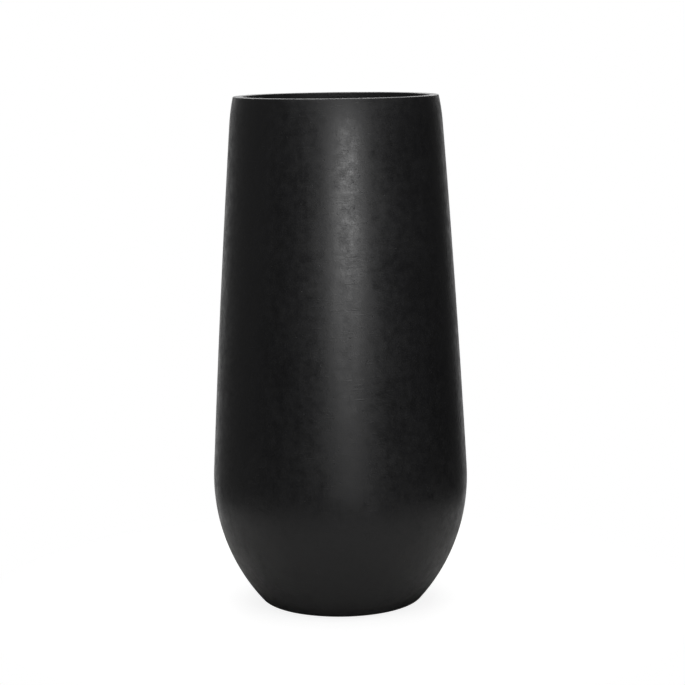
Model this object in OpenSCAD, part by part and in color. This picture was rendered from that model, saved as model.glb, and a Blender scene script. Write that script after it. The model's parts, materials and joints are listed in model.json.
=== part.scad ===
// Tall round floor planter: a moulded fibre-stone shell with a lift-out liner, a drain plug and floor pads.
// Millimetres, +Z up. The origin is on the floor, under the middle of the planter.

/* [Outside shape] */
// Height from the floor to the top of the lip
total_h = 1000; // [900:5:1100]
// Outside diameter that the wall would have at the top of the lip, if the rim didn't turn in
mouth_d = 406; // [380:1:430]
// Outside diameter at the widest place
belly_d = 503; // [480:1:540]
// Height of the widest place above the floor
belly_z = 249; // [230:1:265]
// Radius of the bowl's side, seen in profile
bowl_r = 368; // [350:1:410]
// Rounding where the bowl turns in under the foot
foot_round = 17.6; // [10:0.2:24]
// How far the wall bows out from straight, as the angle it turns through at its lower end
wall_bow = 0.7; // [0.3:0.05:1.2]
// Height over which the rim turns in, below the top of the lip
rim_turn_h = 55; // [30:1:70]
// Angle that the rim turns in through
rim_turn = 8; // [4:0.5:12]

/* [Shell wall] */
// Thickness of the wall
wall_t = 10; // [7:0.5:14]
// Thickness of the floor
floor_t = 14; // [10:0.5:18]
// Rounding inside, between the bowl and the floor
floor_round = 30; // [15:1:40]
// Thickness that the lip would have at its top, if the rim didn't turn in
lip_t = 21.5; // [16:0.5:26]
// Rounding of the lip's two edges
lip_round = 2.5; // [1.5:0.5:6]

/* [Ledge for the liner] */
// Depth of the ledge below the top of the lip
ledge_depth = 45; // [35:1:70]
// How far the ledge stands in from the mouth's inner wall
ledge_w = 14; // [10:0.5:18]
// Height of the ledge's upright face
ledge_t = 14; // [8:1:20]
// Height of the slope that leads from the ledge back to the wall
ledge_slope_h = 34; // [20:1:50]

/* [Foot] */
// Width of the foot ring
foot_ring_w = 18; // [12:1:26]
// Depth of the recess inside the foot ring
recess_h = 3; // [2:0.5:5]
// Diameter of a floor pad
pad_d = 34; // [24:1:44]
// How far the pads stand below the foot ring
pad_proud = 1.5; // [1:0.25:3]
// Distance from a pad to the foot ring
pad_edge = 4; // [2:0.5:10]
// Chamfer around a pad's lower edge
pad_chamfer = 0.8; // [0.4:0.1:1.2]

/* [Drain] */
// Diameter of the drain hole
drain_d = 24; // [18:0.5:32]
// Diameter of the plug's flange
plug_flange_d = 42; // [36:1:54]
// Thickness of the plug's flange
plug_flange_t = 5; // [3:0.5:8]
// Diameter of the plug's pull knob
knob_d = 20; // [18:0.5:26]
// Height of the knob, which has a round edge
knob_h = 6; // [4:0.5:7]
// Diameter of the neck under the knob
knob_neck_d = 9; // [6:0.5:11]
// Height of the neck under the knob
knob_neck_h = 7; // [4:0.5:12]
// Chamfer at the plug's lower end
plug_chamfer = 1.5; // [0.5:0.25:3]
// How far the plug's lower end stops short of the recess
plug_short = 1; // [0.5:0.25:3]
// Gap between the plug and the drain hole
plug_clear = 0.06; // [0.02:0.01:0.1]

/* [Liner] */
// Depth of the liner below its flange
liner_depth = 300; // [240:5:360]
// Thickness of the liner's wall
liner_t = 3; // [2:0.25:5]
// Thickness of the liner's floor
liner_floor_t = 4; // [3:0.25:6]
// How much smaller the liner's radius is at its floor than at its flange
liner_taper = 16; // [8:1:28]
// Rounding outside, at the liner's floor
liner_round = 12; // [8:1:20]
// Thickness of the liner's flange
flange_t = 4; // [3:0.25:6]
// Gap between the liner's flange and the mouth's inner wall
flange_clear = 1.5; // [1:0.25:3]
// Gap between the liner's wall and the ledge
liner_clear = 2; // [1:0.25:4]
// Number of drain holes in the liner's floor, around the middle one
liner_holes = 8; // [4:1:12]
// Diameter of a drain hole in the liner's floor
liner_hole_d = 10; // [6:0.5:14]
// Distance from the rounding of the liner's floor in to the circle of drain holes
liner_hole_inset = 40; // [20:1:60]

/* [Bails] */
// Diameter of the bail's wire
wire_d = 5; // [4:0.1:5.2]
// Distance from the flange's edge in to the middle of the wire
bail_inset = 11; // [9:0.5:12]
// Half the angle that the bail's bow spans
bail_half = 38; // [28:1:42]
// Diameter of the ball where the bow meets its pivot end
ball_d = 5.6; // [5.4:0.1:7]
// Gap between a folded bail and the flange
bail_gap = 0.3; // [0.2:0.05:0.6]
// Width of a lug
lug_w = 9; // [8:0.25:10]
// Thickness of a lug
lug_t = 6; // [4:0.25:7]
// Gap between the ball and the lug
lug_gap = 0.5; // [0.3:0.1:1]
// Gap between the wire and the lug's hole
pivot_clear = 0.06; // [0.02:0.01:0.1]
// How far the wire's end shows past the lug
pivot_proud = 0.8; // [0.3:0.1:1.5]

/* [Hidden] */

round_sides = 180;
hole_sides = 48;
bowl_steps = 24;
wall_steps = 12;
turn_steps = 6;
edge_steps = 8;

// Points along an arc about c, from one angle to another
function arc(c, r, from, to, steps) =
    [for (i = [0:steps]) let (a = from + (to - from) * i / steps) c + r * [cos(a), sin(a)]];

// Where an arc of radius r, tangent inside a larger arc about c, has its centre, if that lies at height z
function tangent_centre(c, big_r, r, z) = [c.x + sqrt(pow(big_r - r, 2) - pow(z - c.y, 2)), z];

// The angle at which point p is seen from c
function angle_to(c, p) = atan2(p.y - c.y, p.x - c.x);

// Levels
foot_z = pad_proud;
recess_z = foot_z + recess_h;
floor_z = recess_z + floor_t;
ledge_z = total_h - ledge_depth;
flange_top_z = ledge_z + flange_t;
liner_bottom_z = ledge_z - liner_depth;

// Radii at the mouth
mouth_r = mouth_d / 2;
bore_r = mouth_r - lip_t;
ledge_r = bore_r - ledge_w;

// The bowl's side is one arc
bowl_c = [belly_d / 2 - bowl_r, belly_z];

// A straight wall from the lip would touch the bowl at touch_angle. The bowed wall leaves it a little lower.
rim = [mouth_r, total_h];
touch_angle = angle_to(bowl_c, rim) - acos(bowl_r / norm(rim - bowl_c));
wall_angle = touch_angle - wall_bow;
shoulder_dir = [cos(wall_angle), sin(wall_angle)];
shoulder = bowl_c + bowl_r * shoulder_dir;

// The wall is one long arc, tangent to the bowl at the shoulder. Carried up, it would pass through the rim.
wall_chord = rim - shoulder;
wall_r = -(wall_chord * wall_chord) / (2 * (wall_chord * shoulder_dir));
wall_c = shoulder - wall_r * shoulder_dir;

// Near the top the rim leaves the wall on a shorter arc, tangent to it
turn_angle = asin((total_h - rim_turn_h - wall_c.y) / wall_r);
turn_r = rim_turn_h / (sin(turn_angle + rim_turn) - sin(turn_angle));
turn_c = wall_c + (wall_r - turn_r) * [cos(turn_angle), sin(turn_angle)];

// Centres of the edge roundings
foot_c = tangent_centre(bowl_c, bowl_r, foot_round, foot_z + foot_round);
floor_c = tangent_centre(bowl_c, bowl_r - wall_t, floor_round, floor_z + floor_round);
lip_c = tangent_centre(turn_c, turn_r, lip_round, total_h - lip_round);
lip_inner_c = [bore_r + lip_round, total_h - lip_round];
foot_angle = angle_to(bowl_c, foot_c);
floor_angle = angle_to(bowl_c, floor_c);
lip_angle = angle_to(turn_c, lip_c);

// Where the ledge's slope meets the inside of the wall
slope_z = ledge_z - ledge_t - ledge_slope_h;
slope_angle = asin((slope_z - wall_c.y) / (wall_r - wall_t));

// Foot
recess_r = foot_c.x - foot_ring_w;
pad_count = 4;
pad_circle_r = recess_r - pad_edge - pad_d / 2;
pad_first_angle = 45;

// Liner
flange_r = bore_r - flange_clear;
liner_top_r = ledge_r - liner_clear;
liner_foot_r = liner_top_r - liner_taper;
liner_inner_round = liner_round - liner_t;
liner_hole_circle_r = liner_foot_r - liner_round - liner_hole_inset;

// Bails: the pivot line runs along Y, through the wire's straight ends
bail_r = flange_r - bail_inset;
bail_z = flange_top_z + bail_gap + ball_d / 2;
pivot_x = bail_r * cos(bail_half);
ball_y = bail_r * sin(bail_half);
lug_y = ball_y + ball_d / 2 + lug_gap;
wire_end_y = lug_y + lug_t + pivot_proud;

// Drain plug
plug_r = drain_d / 2 - plug_clear;
plug_bottom_z = recess_z + plug_short;
knob_z = floor_z + plug_flange_t + knob_neck_h;

shell_outline = concat(
    [[drain_d / 2, recess_z], [recess_r, recess_z], [recess_r, foot_z]],
    arc(foot_c, foot_round, -90, foot_angle, edge_steps),
    arc(bowl_c, bowl_r, foot_angle, wall_angle, bowl_steps),
    arc(wall_c, wall_r, wall_angle, turn_angle, wall_steps),
    arc(turn_c, turn_r, turn_angle, lip_angle, turn_steps),
    arc(lip_c, lip_round, lip_angle, 90, edge_steps),
    arc(lip_inner_c, lip_round, 90, 180, edge_steps),
    [[bore_r, ledge_z], [ledge_r, ledge_z], [ledge_r, ledge_z - ledge_t]],
    arc(wall_c, wall_r - wall_t, slope_angle, wall_angle, wall_steps),
    arc(bowl_c, bowl_r - wall_t, wall_angle, floor_angle, bowl_steps),
    arc(floor_c, floor_round, floor_angle, -90, edge_steps),
    [[drain_d / 2, floor_z]]
);

module shell() {
    color("#1d1d1e")
        rotate_extrude($fn = round_sides)
            polygon(shell_outline);
}

module foot_pad(index) {
    pad_r = pad_d / 2;
    color("#2a2a2b")
        rotate([0, 0, pad_first_angle + index * 360 / pad_count])
            translate([pad_circle_r, 0, 0])
                rotate_extrude($fn = hole_sides)
                    polygon([[0, 0], [pad_r - pad_chamfer, 0], [pad_r, pad_chamfer],
                             [pad_r, recess_z], [0, recess_z]]);
}

// Half of the liner's section. The wall runs from the floor's rounding up to the flange.
module liner_section() {
    outer_c = [liner_foot_r - liner_round, liner_bottom_z + liner_round];
    inner_c = [outer_c.x, liner_bottom_z + liner_floor_t + liner_inner_round];
    polygon(concat(
        [[0, liner_bottom_z]],
        arc(outer_c, liner_round, -90, 0, edge_steps),
        [[liner_top_r, ledge_z], [flange_r, ledge_z], [flange_r, flange_top_z],
         [liner_top_r - liner_t, flange_top_z]],
        arc(inner_c, liner_inner_round, 0, -90, edge_steps),
        [[0, liner_bottom_z + liner_floor_t]]
    ));
}

module liner_hole(x) {
    translate([x, 0, liner_bottom_z - liner_floor_t])
        cylinder(h = 3 * liner_floor_t, d = liner_hole_d, $fn = hole_sides);
}

// A lug stands on the flange and holds one end of a bail
module lug() {
    difference() {
        translate([pivot_x, lug_y, 0]) {
            translate([-lug_w / 2, 0, flange_top_z])
                cube([lug_w, lug_t, bail_z - flange_top_z]);
            translate([0, 0, bail_z])
                rotate([-90, 0, 0])
                    cylinder(h = lug_t, d = lug_w, $fn = hole_sides);
        }
        translate([pivot_x, lug_y - lug_t, bail_z])
            rotate([-90, 0, 0])
                cylinder(h = 3 * lug_t, r = wire_d / 2 + pivot_clear, $fn = hole_sides);
    }
}

module liner() {
    color("#2b2c2e")
        union() {
            difference() {
                rotate_extrude($fn = round_sides)
                    liner_section();
                liner_hole(0);
                for (i = [0:liner_holes - 1])
                    rotate([0, 0, (i + 0.5) * 360 / liner_holes])
                        liner_hole(liner_hole_circle_r);
            }
            for (turn = [0, 180])
                rotate([0, 0, turn])
                    for (side = [0, 1])
                        mirror([0, side, 0])
                            lug();
        }
}

// The bow ends in a ball on each side, and a straight pivot end leaves the ball along Y
module bail(turn) {
    color("#8d9092")
        rotate([0, 0, turn])
            translate([0, 0, bail_z])
                union() {
                    rotate([0, 0, -bail_half])
                        rotate_extrude(angle = 2 * bail_half, $fn = round_sides)
                            translate([bail_r, 0])
                                circle(d = wire_d, $fn = hole_sides);
                    for (side = [0, 1])
                        mirror([0, side, 0])
                            translate([pivot_x, ball_y, 0]) {
                                sphere(d = ball_d, $fn = hole_sides);
                                rotate([-90, 0, 0])
                                    cylinder(h = wire_end_y - ball_y, d = wire_d, $fn = hole_sides);
                            }
                }
}

module drain_plug() {
    flange_edge_r = plug_flange_d / 2;
    knob_edge_r = knob_h / 2;
    color("#232324")
        rotate_extrude($fn = hole_sides)
            polygon(concat(
                [[0, plug_bottom_z], [plug_r - plug_chamfer, plug_bottom_z],
                 [plug_r, plug_bottom_z + plug_chamfer], [plug_r, floor_z],
                 [flange_edge_r, floor_z], [flange_edge_r, floor_z + plug_flange_t / 2],
                 [knob_neck_d / 2, floor_z + plug_flange_t], [knob_neck_d / 2, knob_z]],
                arc([knob_d / 2 - knob_edge_r, knob_z + knob_edge_r], knob_edge_r, -90, 90, edge_steps),
                [[0, knob_z + knob_h]]
            ));
}

shell();
foot_pad(0);  // foot_pad_1
foot_pad(1);  // foot_pad_2
foot_pad(2);  // foot_pad_3
foot_pad(3);  // foot_pad_4
liner();
bail(180);  // bail_left
bail(0);  // bail_right
drain_plug();
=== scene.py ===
"""A tall round floor planter of black fibre-stone, with its liner, bails, drain plug and pads.

Every piece is built round the packed frame, in metres, and rides on one of its bodies.
"""

import cmath
import json
import math

import bmesh
import bpy
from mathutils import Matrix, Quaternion, Vector

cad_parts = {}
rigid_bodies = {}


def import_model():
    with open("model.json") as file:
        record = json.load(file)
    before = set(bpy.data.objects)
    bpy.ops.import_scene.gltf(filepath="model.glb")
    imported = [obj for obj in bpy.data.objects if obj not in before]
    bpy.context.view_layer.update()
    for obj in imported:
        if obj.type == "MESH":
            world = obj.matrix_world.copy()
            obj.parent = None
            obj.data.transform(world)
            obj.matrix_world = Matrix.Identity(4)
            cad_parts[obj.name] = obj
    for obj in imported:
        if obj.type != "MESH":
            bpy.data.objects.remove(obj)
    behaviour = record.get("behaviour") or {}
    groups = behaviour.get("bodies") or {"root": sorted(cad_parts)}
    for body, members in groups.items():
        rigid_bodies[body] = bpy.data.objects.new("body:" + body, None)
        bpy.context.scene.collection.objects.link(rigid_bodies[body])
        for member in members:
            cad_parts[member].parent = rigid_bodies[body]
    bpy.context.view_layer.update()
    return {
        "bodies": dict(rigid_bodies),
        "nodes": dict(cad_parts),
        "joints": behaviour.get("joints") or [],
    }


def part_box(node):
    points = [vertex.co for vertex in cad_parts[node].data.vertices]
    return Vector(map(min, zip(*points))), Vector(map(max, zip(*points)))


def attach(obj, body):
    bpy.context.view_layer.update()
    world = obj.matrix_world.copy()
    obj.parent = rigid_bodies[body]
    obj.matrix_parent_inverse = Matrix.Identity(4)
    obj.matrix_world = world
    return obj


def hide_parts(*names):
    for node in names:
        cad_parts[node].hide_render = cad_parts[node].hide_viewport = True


bl_info = {
    "name": "Round Floor Planter",
    "version": (1, 0, 0),
    "blender": (4, 5, 0),
    "location": "3D View > Sidebar > Planter",
    "description": "Builds a tall fibre-stone planter with its liner, bails, drain plug and pads",
    "category": "Object",
}

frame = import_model()
MM = 0.001

SHELL_LOW, SHELL_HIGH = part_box("shell")
LINER_LOW, LINER_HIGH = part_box("liner")
PLUG_LOW, PLUG_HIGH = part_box("drain_plug")
PAD_LOW, PAD_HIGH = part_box("foot_pad_1")
PADS = [name for name in frame["nodes"] if name.startswith("foot_pad")]
JOINTS = {joint["name"]: joint for joint in frame["joints"]}
PIVOT = Vector(JOINTS["bail_right_swing"]["pos_m"])


# Values and colours that a user would change

def linear(hex_colour):
    """An sRGB hex colour as the linear colour that the renderer works in."""
    channels = [int(hex_colour[start:start + 2], 16) / 255 for start in (1, 3, 5)]
    return [c / 12.92 if c <= 0.04045 else ((c + 0.055) / 1.055) ** 2.4 for c in channels]


def length(name, metres, description):
    """A length that can be set in the sidebar."""
    return bpy.props.FloatProperty(name=name, description=description, default=metres,
                                   min=0.0, precision=5, unit="LENGTH")


def angle(name, degrees, description):
    """An angle that can be set in the sidebar."""
    return bpy.props.FloatProperty(name=name, description=description,
                                   default=math.radians(degrees), subtype="ANGLE")


def count(name, number, description):
    """A whole number that can be set in the sidebar."""
    return bpy.props.IntProperty(name=name, description=description, default=number, min=1)


def colour(name, hex_colour, description):
    """A colour that can be set in the sidebar."""
    return bpy.props.FloatVectorProperty(name=name, description=description, size=3,
                                         default=linear(hex_colour), subtype="COLOR", min=0, max=1)


def place(name, metres, description):
    """A point that can be set in the sidebar."""
    return bpy.props.FloatVectorProperty(name=name, description=description, size=3,
                                         default=metres, subtype="TRANSLATION", unit="LENGTH")


class PLANTER_PG_shell(bpy.types.PropertyGroup):
    """Sizes of the moulded shell"""
    height: length("Height", SHELL_HIGH.z, "From the floor to the top of the lip")
    belly_radius: length("Belly radius", SHELL_HIGH.x, "Outside radius at the widest place")
    belly_z: length("Belly height", 249 * MM, "Height of the widest place")
    mouth_radius: length("Mouth radius", 203 * MM, "Where the wall would end if the rim didn't turn in")
    bowl_radius: length("Bowl radius", 368 * MM, "Radius of the bowl's side, seen in profile")
    wall_bow: angle("Wall bow", 0.7, "How far the wall bows out from straight at its lower end")
    rim_turn_height: length("Rim turn height", 55 * MM, "Height over which the rim turns in")
    rim_turn: angle("Rim turn", 8, "Angle that the rim turns in through")
    foot_z: length("Foot height", SHELL_LOW.z, "Height of the foot ring's underside")
    foot_round: length("Foot rounding", 17.6 * MM, "Where the bowl turns in under the foot")
    ring_width: length("Foot ring width", 18 * MM, "Width of the foot ring")
    recess: length("Recess", 3 * MM, "Depth of the recess inside the foot ring")
    wall: length("Wall", 10 * MM, "Thickness of the wall")
    floor: length("Floor", 14 * MM, "Thickness of the floor")
    floor_round: length("Floor rounding", 30 * MM, "Inside, between the bowl and the floor")
    lip: length("Lip", 21.5 * MM, "Thickness that the lip would have if the rim didn't turn in")
    lip_round: length("Lip rounding", 2.5 * MM, "Rounding of the lip's two edges")
    ledge_depth: length("Ledge depth", 45 * MM, "From the top of the lip down to the ledge")
    ledge_width: length("Ledge width", 14 * MM, "How far the ledge stands in from the mouth")
    ledge_height: length("Ledge height", 14 * MM, "Height of the ledge's upright face")
    ledge_slope: length("Ledge slope", 34 * MM, "Height of the slope from the ledge to the wall")
    drain_radius: length("Drain radius", 12 * MM, "Radius of the drain hole")
    edge_round: length("Edge rounding", 1 * MM, "Rounding of the small moulded edges")
    ripple_depth: length("Ripple depth", 0.5 * MM, "Deepest hand-finished hollow in the skin")
    ripple_size: length("Ripple size", 130 * MM, "Distance from one hollow in the skin to the next")
    sides: count("Sides", 270, "Number of faces round the shell")
    row_height: length("Row height", 5.5 * MM, "Height of a row of faces on the skin")
    seed: count("Seed", 7, "Picks the pattern of hollows in the skin")


class PLANTER_PG_liner(bpy.types.PropertyGroup):
    """Sizes of the liner"""
    low_z: length("Underside", LINER_LOW.z, "Height of the liner's underside")
    flange_radius: length("Flange radius", LINER_HIGH.x, "Outside radius of the flange")
    flange: length("Flange", 4 * MM, "Thickness of the flange")
    top_radius: length("Top radius", 165.5 * MM, "Outside radius under the flange")
    foot_radius: length("Foot radius", 149.5 * MM, "Outside radius at the floor")
    wall: length("Wall", 3 * MM, "Thickness of the wall")
    floor: length("Floor", 4 * MM, "Thickness of the floor")
    corner: length("Corner", 12 * MM, "Rounding outside, at the floor")
    edge_round: length("Edge rounding", 1 * MM, "Rounding of the moulded edges")
    hole_radius: length("Hole radius", 5 * MM, "Radius of a drain hole")
    hole_circle: length("Hole circle", 97.5 * MM, "Radius of the circle of drain holes")
    holes: count("Holes", 8, "Number of drain holes round the middle one")
    lug_width: length("Lug width", 9 * MM, "Width of a lug")
    lug_thickness: length("Lug thickness", 6 * MM, "Thickness of a lug")
    lug_edge: length("Lug edge", 0.5 * MM, "Bevel of a lug's edges")
    bore_clearance: length("Bore clearance", 0.06 * MM, "Gap between the wire and the lug's hole")
    sides: count("Sides", 200, "Number of faces round the liner")


class PLANTER_PG_bail(bpy.types.PropertyGroup):
    """Sizes of the two wire bails"""
    wire_radius: length("Wire radius", 2.5 * MM, "Radius of the wire")
    half_angle: angle("Half angle", 38, "Half the angle that the bow spans")
    bend: length("Bend radius", 6 * MM, "Radius at which the wire turns into its pivot end")
    lug_gap: length("Lug gap", 3.3 * MM, "From the middle of the bend to the lug")
    proud: length("Proud end", 0.8 * MM, "How far the wire's end shows past the lug")
    end_chamfer: length("End chamfer", 0.5 * MM, "Chamfer of the cut wire end")
    sides: count("Sides", 28, "Number of faces round the wire")
    bow_steps: count("Bow steps", 72, "Number of faces along the bow")


class PLANTER_PG_plug(bpy.types.PropertyGroup):
    """Sizes of the drain plug"""
    stem_radius: length("Stem radius", 11.94 * MM, "Radius of the stem in the drain hole")
    flange: length("Flange", 5 * MM, "Thickness of the flange")
    neck_radius: length("Neck radius", 4.5 * MM, "Radius under the knob")
    knob_radius: length("Knob radius", 10 * MM, "Radius of the pull knob")
    knob_height: length("Knob height", 6 * MM, "Height of the pull knob")
    chamfer: length("Chamfer", 1.5 * MM, "Chamfer at the lower end")
    edge_round: length("Edge rounding", 0.6 * MM, "Rounding of the moulded edges")
    sides: count("Sides", 96, "Number of faces round the plug")


class PLANTER_PG_pads(bpy.types.PropertyGroup):
    """Sizes of the floor pads"""
    edge_round: length("Edge rounding", 0.8 * MM, "Rounding of a pad's lower edge")
    sides: count("Sides", 64, "Number of faces round a pad")


class PLANTER_PG_finish(bpy.types.PropertyGroup):
    """Colours of the finishes"""
    stone: colour("Fibre-stone", "#1a1a1b", "The sealed skin")
    laminate: colour("Laminate", "#1b1b1c", "The raw inside of the shell")
    plastic: colour("Liner plastic", "#26272a", "The liner's polypropylene")
    wire: colour("Zinc wire", "#b9bcc0", "The bails' zinc-plated wire")
    plug: colour("Plug rubber", "#232324", "The drain plug's rubber")
    pad: colour("Pad rubber", "#2a2a2b", "The floor pads' rubber")
    paper: colour("Paper", "#ebeae8", "The pale floor")


class PLANTER_PG_stage(bpy.types.PropertyGroup):
    """Camera and studio"""
    camera_place: place("Camera place", (0.0, -4.0, 1.129), "Where the camera stands")
    camera_aim: place("Camera aim", (0.0072, 0.0, 0.5158), "What the camera looks at")
    camera_roll: angle("Camera roll", 0.708, "How far the camera is turned about its line of sight")
    focal_length: bpy.props.FloatProperty(name="Focal length", default=107.95, min=1,
                                          description="Focal length of the camera, in millimetres")
    floor_radius: length("Floor radius", 0.73, "Radius of the paper that the planter stands on")
    tent_radius: length("Tent radius", 7.0, "Distance from the planter to the black tent")
    tent_left: angle("Tent left", 148, "How far the tent reaches round the left, from the front")
    tent_right: angle("Tent right", 150, "How far the tent reaches round the right, from the front")
    tent_roof: angle("Tent roof", 40, "How high the tent is open at the back")


# Sections and paths. A point of a section is a complex number: the radius, and the height times 1j.

def arc(centre, radius, start, end, spacing):
    """Points along an arc of a section, a given distance apart."""
    steps = max(3, math.ceil(abs(end - start) * radius / spacing))
    return [centre + cmath.rect(radius, start + (end - start) * i / steps) for i in range(steps + 1)]


def unit(direction):
    """The direction with a length of one."""
    return direction / abs(direction)


def rounded(before, corner, after, radius, steps=5, support=0.4 * MM):
    """Points that round a corner, with one more just outside each end, which keeps the flats flat."""
    back = unit(before - corner)
    ahead = unit(after - corner)
    half = abs(cmath.phase(ahead / back)) / 2
    reach = radius / math.tan(half)
    centre = corner + unit(back + ahead) * radius / math.sin(half)
    start = corner + back * reach - centre
    sweep = cmath.phase((corner + ahead * reach - centre) / start)
    bend = [centre + start * cmath.rect(1, sweep * i / steps) for i in range(steps + 1)]
    return [corner + back * (reach + support), *bend, corner + ahead * (reach + support)]


def round_corners(points, radius, **how):
    """Rounds every corner of a line of points, and leaves its two ends out."""
    corners = zip(points, points[1:], points[2:])
    return [point for corner in corners for point in rounded(*corner, radius, **how)]


def centre_inside(centre, big_radius, radius, height):
    """The centre, at a given height, of an arc that touches a larger arc from inside."""
    rise = height - centre.imag
    return centre.real + math.sqrt((big_radius - radius) ** 2 - rise ** 2) + 1j * height


class ShellSection:
    """The arcs of the shell's section, worked out from its sizes."""

    def __init__(self, sizes):
        self.s = sizes
        self.bowl = sizes.belly_radius - sizes.bowl_radius + 1j * sizes.belly_z
        rim = sizes.mouth_radius + 1j * sizes.height
        to_rim = rim - self.bowl
        touch = cmath.phase(to_rim) - math.acos(sizes.bowl_radius / abs(to_rim))
        self.shoulder = touch - sizes.wall_bow
        outward = cmath.rect(1, self.shoulder)
        chord = rim - self.bowl - sizes.bowl_radius * outward
        self.wall_radius = -abs(chord) ** 2 / (2 * (chord * outward.conjugate()).real)
        self.wall = self.bowl + (sizes.bowl_radius - self.wall_radius) * outward
        turn_z = sizes.height - sizes.rim_turn_height
        self.turn_angle = math.asin((turn_z - self.wall.imag) / self.wall_radius)
        rise = math.sin(self.turn_angle + sizes.rim_turn) - math.sin(self.turn_angle)
        self.rim_radius = sizes.rim_turn_height / rise
        self.rim = self.wall + cmath.rect(self.wall_radius - self.rim_radius, self.turn_angle)
        self.bore = sizes.mouth_radius - sizes.lip
        self.recess_z = sizes.foot_z + sizes.recess
        self.floor_z = self.recess_z + sizes.floor
        self.ledge_z = sizes.height - sizes.ledge_depth
        self.foot = centre_inside(self.bowl, sizes.bowl_radius, sizes.foot_round,
                                  sizes.foot_z + sizes.foot_round)

    def skin(self):
        """The outside, from the foot up to the lip's inner edge."""
        s = self.s
        lip_z = s.height - s.lip_round
        lip = centre_inside(self.rim, self.rim_radius, s.lip_round, lip_z)
        inner_lip = self.bore + s.lip_round + 1j * lip_z
        foot_angle = cmath.phase(self.foot - self.bowl)
        lip_angle = cmath.phase(lip - self.rim)
        foot_step = 2.4 * MM
        lip_step = 0.6 * MM
        return [
            *arc(self.foot, s.foot_round, -math.pi / 2, foot_angle, foot_step),
            *arc(self.bowl, s.bowl_radius, foot_angle, self.shoulder, s.row_height)[1:],
            *arc(self.wall, self.wall_radius, self.shoulder, self.turn_angle, s.row_height)[1:],
            *arc(self.rim, self.rim_radius, self.turn_angle, lip_angle, s.row_height)[1:],
            *arc(lip, s.lip_round, lip_angle, math.pi / 2, lip_step)[1:],
            *arc(inner_lip, s.lip_round, math.pi / 2, math.pi, lip_step),
        ]

    def inside(self):
        """From the mouth down over the ledge to the drain hole, and on to the foot's underside."""
        s = self.s
        ledge_radius = self.bore - s.ledge_width
        ledge_foot = self.ledge_z - s.ledge_height
        inner_wall = self.wall_radius - s.wall
        slope_angle = math.asin((ledge_foot - s.ledge_slope - self.wall.imag) / inner_wall)
        inner_bowl = s.bowl_radius - s.wall
        corner = centre_inside(self.bowl, inner_bowl, s.floor_round, self.floor_z + s.floor_round)
        corner_angle = cmath.phase(corner - self.bowl)
        recess_radius = self.foot.real - s.ring_width
        neck = [
            self.bore + 1j * (s.height - s.lip_round),
            self.bore + 1j * self.ledge_z,
            ledge_radius + 1j * self.ledge_z,
            ledge_radius + 1j * ledge_foot,
            self.wall + cmath.rect(inner_wall, slope_angle),
        ]
        base = [
            corner.real + 1j * self.floor_z,
            s.drain_radius + 1j * self.floor_z,
            s.drain_radius + 1j * self.recess_z,
            recess_radius + 1j * self.recess_z,
            recess_radius + 1j * s.foot_z,
            self.foot.real + 1j * s.foot_z,
        ]
        inner_row = 2 * s.row_height
        floor_step = 4 * MM
        return [
            *round_corners(neck, s.edge_round),
            *arc(self.wall, inner_wall, slope_angle, self.shoulder, inner_row),
            *arc(self.bowl, inner_bowl, self.shoulder, corner_angle, inner_row)[1:],
            *arc(corner, s.floor_round, corner_angle, -math.pi / 2, floor_step)[1:],
            *round_corners(base, s.edge_round),
        ]


def liner_section(s, ledge_z):
    """Half of the liner's section, from the middle of its underside round to the middle of its floor."""
    inner_round = s.corner - s.wall
    outer = s.foot_radius - s.corner + 1j * (s.low_z + s.corner)
    inner = outer.real + 1j * (s.low_z + s.floor + inner_round)
    side = [
        outer + s.corner,
        s.top_radius + 1j * ledge_z,
        s.flange_radius + 1j * ledge_z,
        s.flange_radius + 1j * (ledge_z + s.flange),
        s.top_radius - s.wall + 1j * (ledge_z + s.flange),
        inner + inner_round,
    ]
    corner_step = 2 * MM
    return [
        1j * s.low_z,
        *arc(outer, s.corner, -math.pi / 2, 0, corner_step),
        *round_corners(side, s.edge_round),
        *arc(inner, inner_round, 0, -math.pi / 2, corner_step),
        1j * (s.low_z + s.floor),
    ]


def plug_section(s, floor_z):
    """Half of the plug's section, from the middle of its lower end up to the top of its knob."""
    knob_edge = s.knob_height / 2
    knob_z = PLUG_HIGH.z - s.knob_height
    stem = [
        1j * PLUG_LOW.z,
        s.stem_radius - s.chamfer + 1j * PLUG_LOW.z,
        s.stem_radius + 1j * (PLUG_LOW.z + s.chamfer),
        s.stem_radius + 1j * floor_z,
        PLUG_HIGH.x + 1j * floor_z,
        PLUG_HIGH.x + 1j * (floor_z + s.flange / 2),
        s.neck_radius + 1j * (floor_z + s.flange),
        s.neck_radius + 1j * knob_z,
        s.knob_radius - knob_edge + 1j * knob_z,
    ]
    knob = s.knob_radius - knob_edge + 1j * (knob_z + knob_edge)
    knob_step = 0.8 * MM
    return [
        stem[0],
        *round_corners(stem, s.edge_round, support=0.2 * MM),
        *arc(knob, knob_edge, -math.pi / 2, math.pi / 2, knob_step),
        1j * PLUG_HIGH.z,
    ]


def pad_section(s):
    """Half of a floor pad's section."""
    radius = (PAD_HIGH.x - PAD_LOW.x) / 2
    edge = [1j * PAD_LOW.z, radius + 1j * PAD_LOW.z, radius + 1j * PAD_HIGH.z]
    return [edge[0], *rounded(*edge, s.edge_round), edge[2], 1j * PAD_HIGH.z]


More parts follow.
